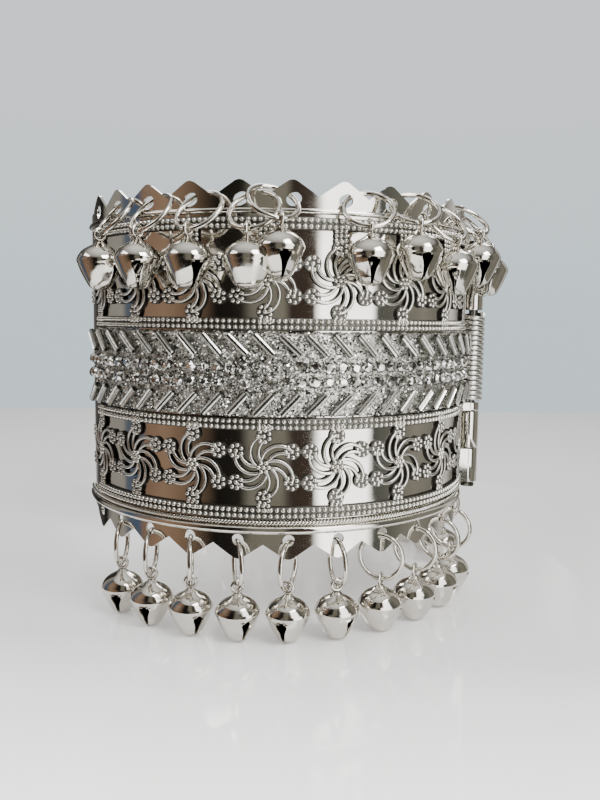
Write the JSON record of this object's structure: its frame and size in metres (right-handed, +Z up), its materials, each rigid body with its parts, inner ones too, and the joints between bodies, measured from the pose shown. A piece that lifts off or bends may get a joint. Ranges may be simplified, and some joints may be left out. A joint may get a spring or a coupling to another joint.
{
  "type": "bell bangle",
  "caption": "Wide sprung-hinge cuff bangle of silver-toned metal, open opposite its hinge, with pierced filigree, a beaded glitter band and small bells at both zigzag edges.",
  "frame": {"origin": "centre of the wrist hollow, half way up the cuff between its zigzag edges", "axes": "+Z up the axis of the cuff, towards the edge whose bells lie outside; +X to the hinge, the gap at -X; the front half is at -Y"},
  "size_m": [0.0714, 0.0812, 0.0666],
  "materials": {
    "sheet_metal": "mirror polish",
    "filigree_metal": "bright cast",
    "glitter_band": "glitter",
    "bugle_glass": "silver lined",
    "rhinestones": "cut and foiled",
    "hinge_steel": "bright",
    "bell_metal": "bright nickel"
  },
  "bodies": {
    "front_half": {"front_bugle_beads": "bugle_glass", "front_lower_drop_01": "bell_metal", "front_lower_drop_02": "bell_metal", "front_lower_drop_03": "bell_metal", "front_lower_drop_04": "bell_metal", "front_lower_drop_05": "bell_metal", "front_lower_drop_06": "bell_metal", "front_lower_drop_07": "bell_metal", "front_lower_drop_08": "bell_metal", "front_lower_drop_09": "bell_metal", "front_lower_drop_10": "bell_metal", "front_lower_filigree": "filigree_metal", "front_middle_band": "glitter_band", "front_shell": "sheet_metal", "front_stone_rows": "rhinestones", "front_upper_drops": "bell_metal", "front_upper_filigree": "filigree_metal", "hinge_pin": "hinge_steel", "hinge_spring": "hinge_steel"},
    "back_half": {"back_bugle_beads": "bugle_glass", "back_lower_drop_01": "bell_metal", "back_lower_drop_02": "bell_metal", "back_lower_drop_03": "bell_metal", "back_lower_drop_04": "bell_metal", "back_lower_drop_05": "bell_metal", "back_lower_drop_06": "bell_metal", "back_lower_drop_07": "bell_metal", "back_lower_drop_08": "bell_metal", "back_lower_drop_09": "bell_metal", "back_lower_drop_10": "bell_metal", "back_lower_filigree": "filigree_metal", "back_middle_band": "glitter_band", "back_shell": "sheet_metal", "back_stone_rows": "rhinestones", "back_upper_drops": "bell_metal", "back_upper_filigree": "filigree_metal"}
  },
  "joints": [
    {"name": "hinge", "type": "hinge", "parent": "front_half", "child": "back_half", "pos_m": [0.0353, 0, 0], "axis": [0, 0, -1], "range_deg": [0, 60], "stiffness_Nm_per_rad": 0.02, "springref_deg": -20.05}
  ]
}
